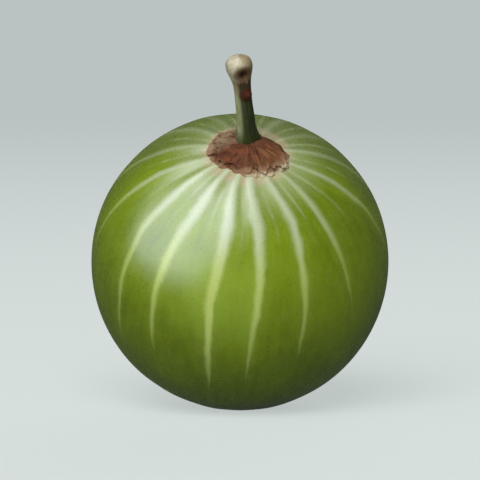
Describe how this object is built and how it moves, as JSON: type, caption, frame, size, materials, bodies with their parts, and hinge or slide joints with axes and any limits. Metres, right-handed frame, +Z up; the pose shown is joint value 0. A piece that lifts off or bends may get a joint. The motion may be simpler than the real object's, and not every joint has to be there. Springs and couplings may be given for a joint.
{
  "type": "gooseberry",
  "caption": "Round green gooseberry with pale veins, its stalk and scaly collar at one end and a withered flower at the other, resting on a small flat spot.",
  "frame": {"origin": "middle of the flat spot that the berry rests on", "axes": "+Z up from the surface; the stalk end leans from upright towards -Y and a little towards +X; the withered flower is low on the +Y side"},
  "size_m": [0.022, 0.022, 0.0266],
  "materials": {
    "skin": "satin",
    "collar_scales": "matte",
    "stem": "matte",
    "calyx": "matte",
    "sepals": "matte",
    "petals": "matte",
    "stamens": "matte",
    "style": "matte"
  },
  "bodies": {
    "root": {"berry": "skin", "stem_collar": "collar_scales", "stem": "stem", "calyx_tube": "calyx", "sepal_1": "sepals", "sepal_2": "sepals", "sepal_3": "sepals", "sepal_4": "sepals", "sepal_5": "sepals", "petal_1": "petals", "petal_2": "petals", "petal_3": "petals", "petal_4": "petals", "petal_5": "petals", "stamen_1": "stamens", "stamen_2": "stamens", "stamen_3": "stamens", "stamen_4": "stamens", "stamen_5": "stamens", "style": "style"}
  },
  "joints": []
}
